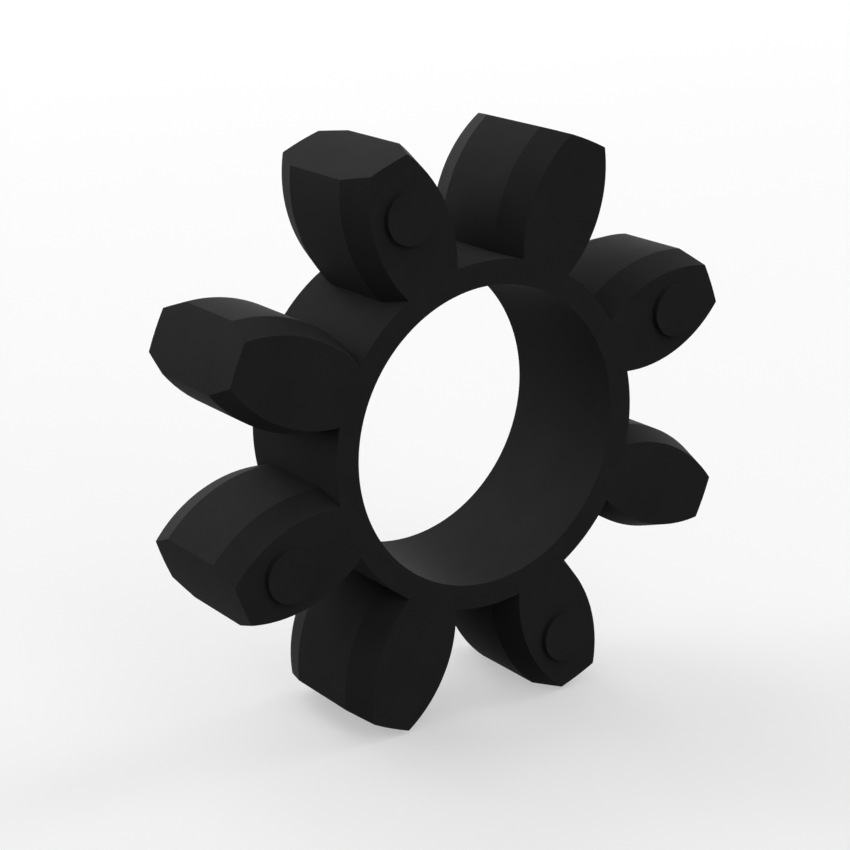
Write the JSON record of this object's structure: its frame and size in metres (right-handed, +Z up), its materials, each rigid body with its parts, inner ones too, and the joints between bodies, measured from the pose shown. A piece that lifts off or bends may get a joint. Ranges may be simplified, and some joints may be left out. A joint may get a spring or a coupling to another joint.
{
  "type": "jaw coupling spider",
  "caption": "Black elastomer spider for a jaw coupling: a thin ring with crowned, chamfered legs and spacer pips, held between the jaws of two hubs to carry torque and damp shocks.",
  "frame": {"origin": "centre of the bore at half the width", "axes": "+Y along the coupling's axis from the front face to the rear face, +Z up with the spider standing on two legs, +X to the right seen from the front"},
  "size_m": [0.053, 0.0152, 0.053],
  "materials": {
    "elastomer": "smooth matte black moulded elastomer"
  },
  "bodies": {
    "root": {"spider": "elastomer"}
  },
  "joints": []
}
